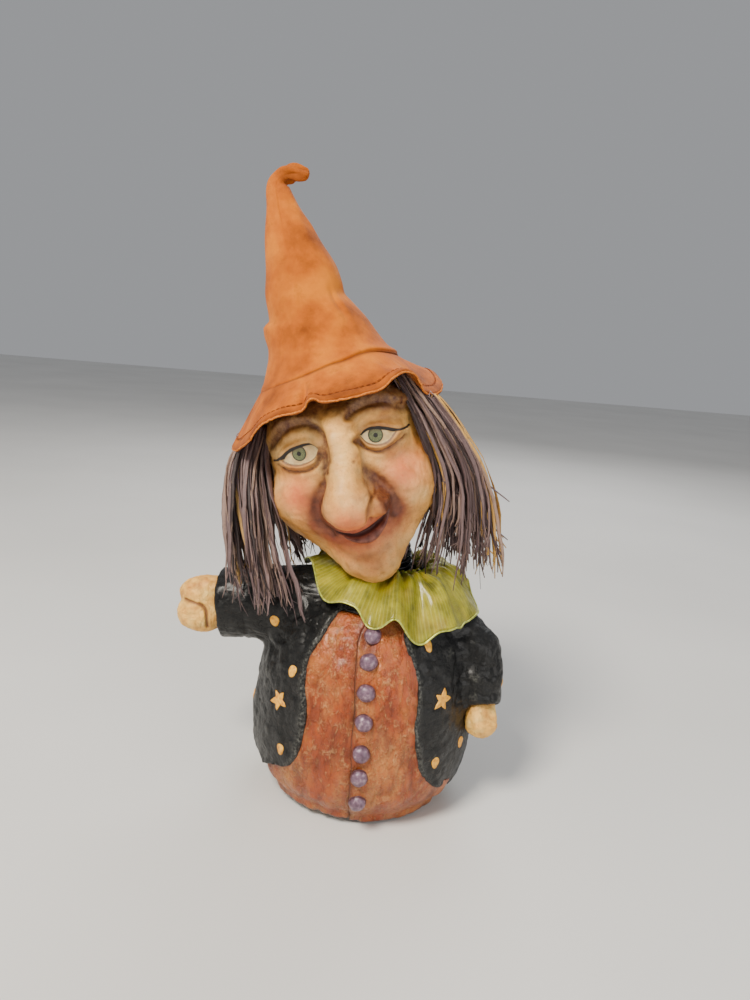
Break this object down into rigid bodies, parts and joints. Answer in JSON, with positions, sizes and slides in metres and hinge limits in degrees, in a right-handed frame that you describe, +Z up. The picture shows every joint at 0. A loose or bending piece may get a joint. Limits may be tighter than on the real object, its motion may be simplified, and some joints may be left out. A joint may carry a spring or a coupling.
{
  "type": "nodding witch figure",
  "caption": "Papier-mache witch figure with a gourd-shaped body, a coil-spring neck that lets the big head wobble, raffia hair and a tall felt hat.",
  "frame": {"origin": "centre of the flat underside, on the surface that the figure stands on", "axes": "+Z up, the figure faces -Y, +X to the right as seen from its front"},
  "size_m": [0.1915, 0.1391, 0.34],
  "materials": {
    "jacket_paint": "satin",
    "vest_paint": "satin",
    "button_paint": "satin",
    "skin_paint": "satin",
    "papier_mache": "matte",
    "newsprint": "matte",
    "plaster": "matte",
    "wood": "matte",
    "armature_wire": "satin",
    "spring_steel": "gloss",
    "raffia": "matte",
    "hat_cloth": "matte",
    "organza": "satin",
    "wired_edge": "satin"
  },
  "bodies": {
    "root": {"base_disc": "wood", "ballast_block": "plaster", "body_core": "newsprint", "body_shell": "papier_mache", "jacket_shell": "jacket_paint", "vest_left_panel": "vest_paint", "vest_right_panel": "vest_paint", "button_1": "button_paint", "button_2": "button_paint", "button_3": "button_paint", "button_4": "button_paint", "button_5": "button_paint", "button_6": "button_paint", "button_7": "button_paint", "raised_sleeve": "jacket_paint", "lowered_sleeve": "jacket_paint", "raised_hand": "skin_paint", "lowered_hand": "skin_paint", "raised_arm_wire": "armature_wire", "lowered_arm_wire": "armature_wire", "neck_plug": "wood", "collar_ruffle": "organza", "collar_gather_thread": "organza", "collar_edge_wire": "wired_edge"},
    "neck_spring": {"neck_spring": "spring_steel"},
    "head_plug": {"head_plug": "wood"},
    "head": {"head_shell": "skin_paint", "head_core": "newsprint", "hair_left": "raffia", "hair_right": "raffia", "hair_back": "raffia", "hat_crown": "hat_cloth", "hat_brim": "hat_cloth"}
  },
  "joints": [
    {"name": "head_nod", "type": "hinge", "parent": "root", "child": "neck_spring", "pos_m": [0.0102, 0, 0.134], "axis": [1, 0, 0], "range_deg": [-9, 4], "stiffness_Nm_per_rad": 0.8, "deforming": ["neck_spring", "hair_left", "hair_right", "hair_back"]},
    {"name": "head_tilt", "type": "hinge", "parent": "neck_spring", "child": "head_plug", "pos_m": [0.0066, 0, 0.15], "axis": [0, 1, 0], "range_deg": [-6, 6], "stiffness_Nm_per_rad": 0.8},
    {"name": "head_turn", "type": "hinge", "parent": "head_plug", "child": "head", "pos_m": [0.00048, 0, 0.168], "axis": [-0.309, 0, 0.9511], "range_deg": [-8, 8], "stiffness_Nm_per_rad": 0.6}
  ]
}
